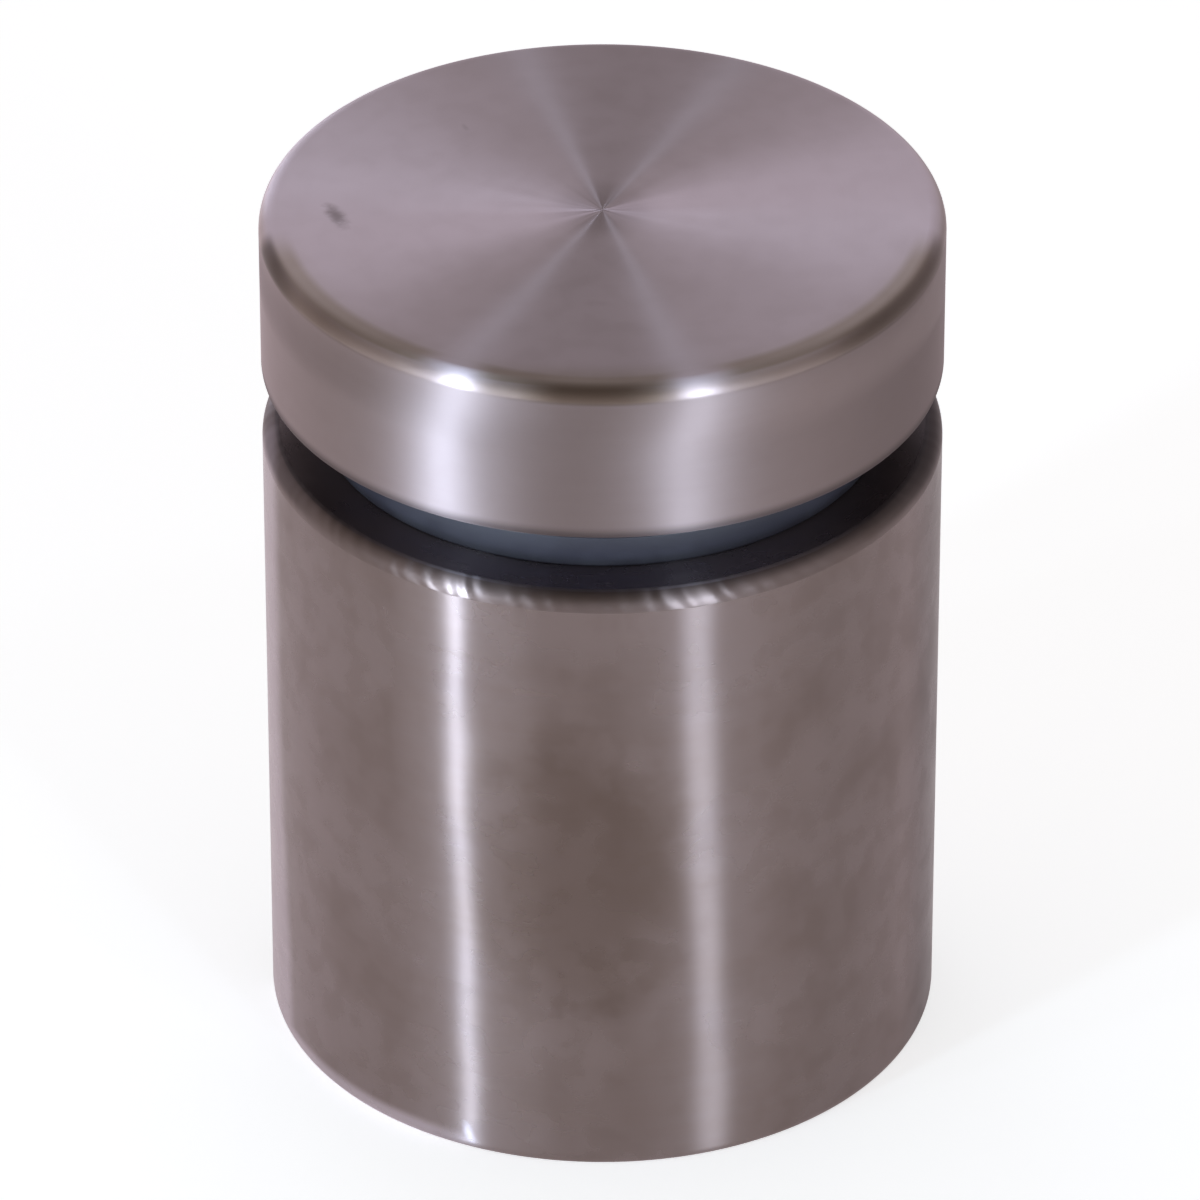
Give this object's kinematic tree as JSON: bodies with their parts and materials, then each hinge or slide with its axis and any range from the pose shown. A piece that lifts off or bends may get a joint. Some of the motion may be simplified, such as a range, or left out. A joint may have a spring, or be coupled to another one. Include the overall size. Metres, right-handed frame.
{
  "type": "glass panel standoff",
  "caption": "Round brushed steel standoff: a barrel fixed to a wall and a screw-on cap on a threaded stud that clamps a glass panel between rubber gaskets.",
  "frame": {"origin": "centre of the barrel's wall face", "axes": "+Z along the turning axis, from the wall towards the cap"},
  "size_m": [0.05, 0.05, 0.0675],
  "materials": {
    "brushed_barrel": "turned and brushed around the axis",
    "brushed_cap": "turned and brushed in rings around the axis",
    "stud_steel": "rolled thread, bright",
    "gasket_rubber": "matt, blue-black",
    "sleeve_nylon": "natural nylon"
  },
  "bodies": {
    "base": {"barrel": "brushed_barrel", "barrel_gasket": "gasket_rubber", "sleeve": "sleeve_nylon"},
    "gasket_carriage": {"cap_gasket": "gasket_rubber"},
    "cap_and_stud": {"cap": "brushed_cap", "stud": "stud_steel"}
  },
  "joints": [
    {"name": "clamp_slide", "type": "slide", "parent": "base", "child": "gasket_carriage", "axis": [0, 0, 1], "range_m": [0, 0.02]},
    {"name": "cap_spin", "type": "hinge", "parent": "gasket_carriage", "child": "cap_and_stud", "pos_m": [0, 0, 0.055], "axis": [0, 0, 1], "range_deg": [0, 4114]}
  ],
  "couplings": [
    {"joint": "clamp_slide", "follows": "cap_spin", "m_per_rad": 0.00027852}
  ]
}
